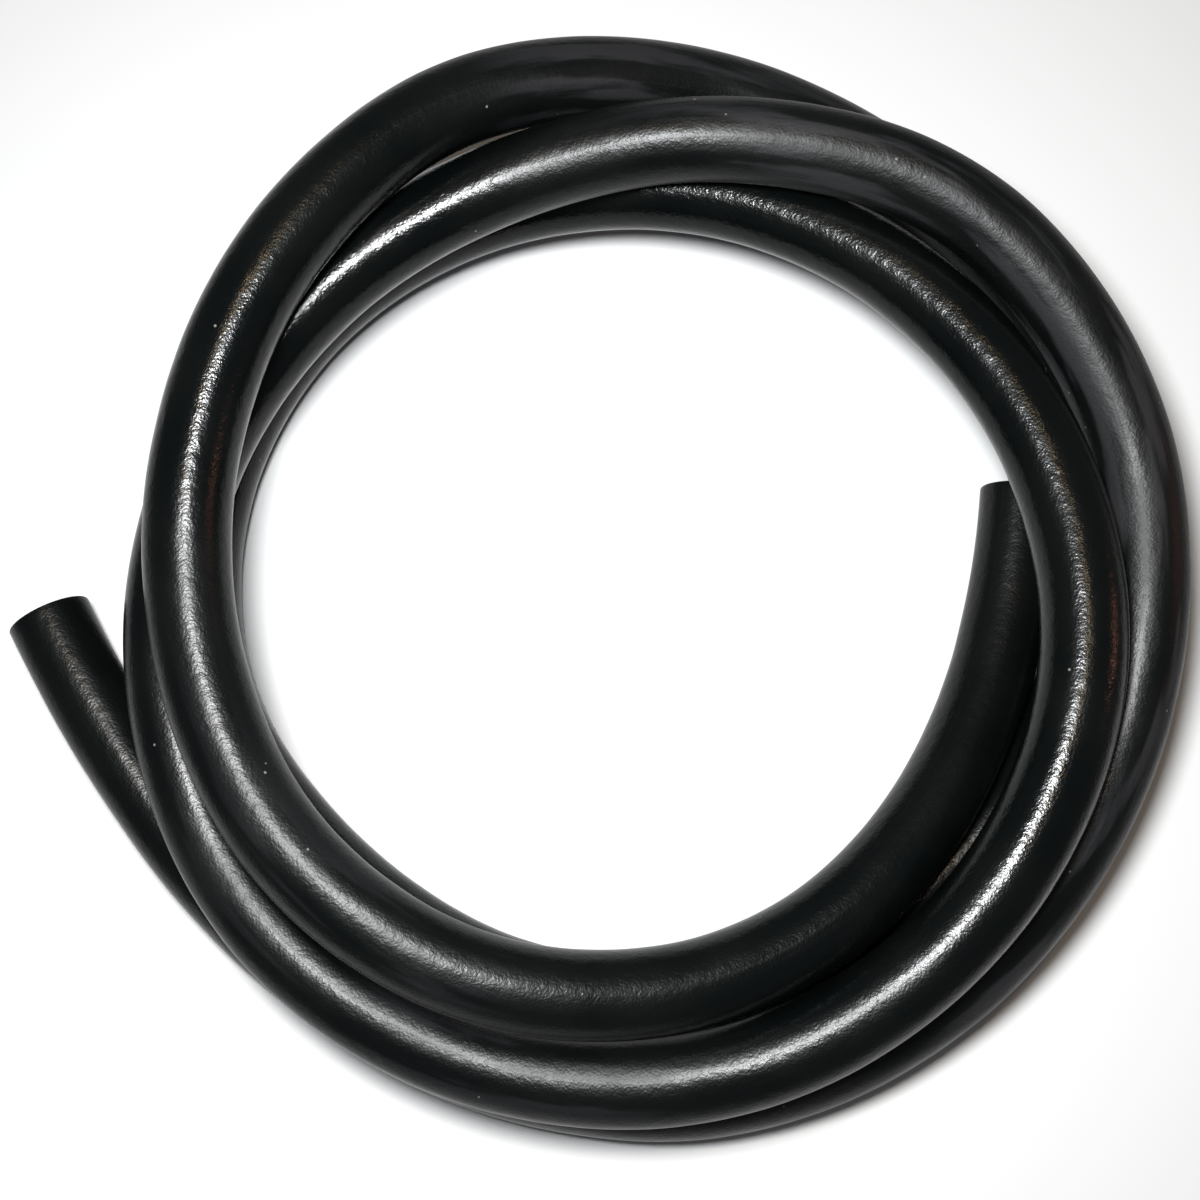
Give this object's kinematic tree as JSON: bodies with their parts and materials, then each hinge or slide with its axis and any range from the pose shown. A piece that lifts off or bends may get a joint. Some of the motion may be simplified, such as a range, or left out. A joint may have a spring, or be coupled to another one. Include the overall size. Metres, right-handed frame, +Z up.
{
  "type": "garden hose",
  "caption": "Loose coil of bare, smooth, flexible black hose with an open bore, cut square at both ends, for barbed or clamped fittings.",
  "frame": {"origin": "middle of the coil's overall box, on the ground that it lies on", "axes": "+Z up, square to the ground; +X towards the side where the hose's inner end lies; +Y is the way that both cut ends point"},
  "size_m": [0.2649, 0.2485, 0.063],
  "materials": {
    "hose_wall": "glossy black with a fine pebbled skin"
  },
  "bodies": {
    "root": {"inner_end": "hose_wall", "first_turn": "hose_wall", "second_turn": "hose_wall", "third_turn": "hose_wall", "outer_half_turn": "hose_wall", "outer_end": "hose_wall"}
  },
  "joints": []
}
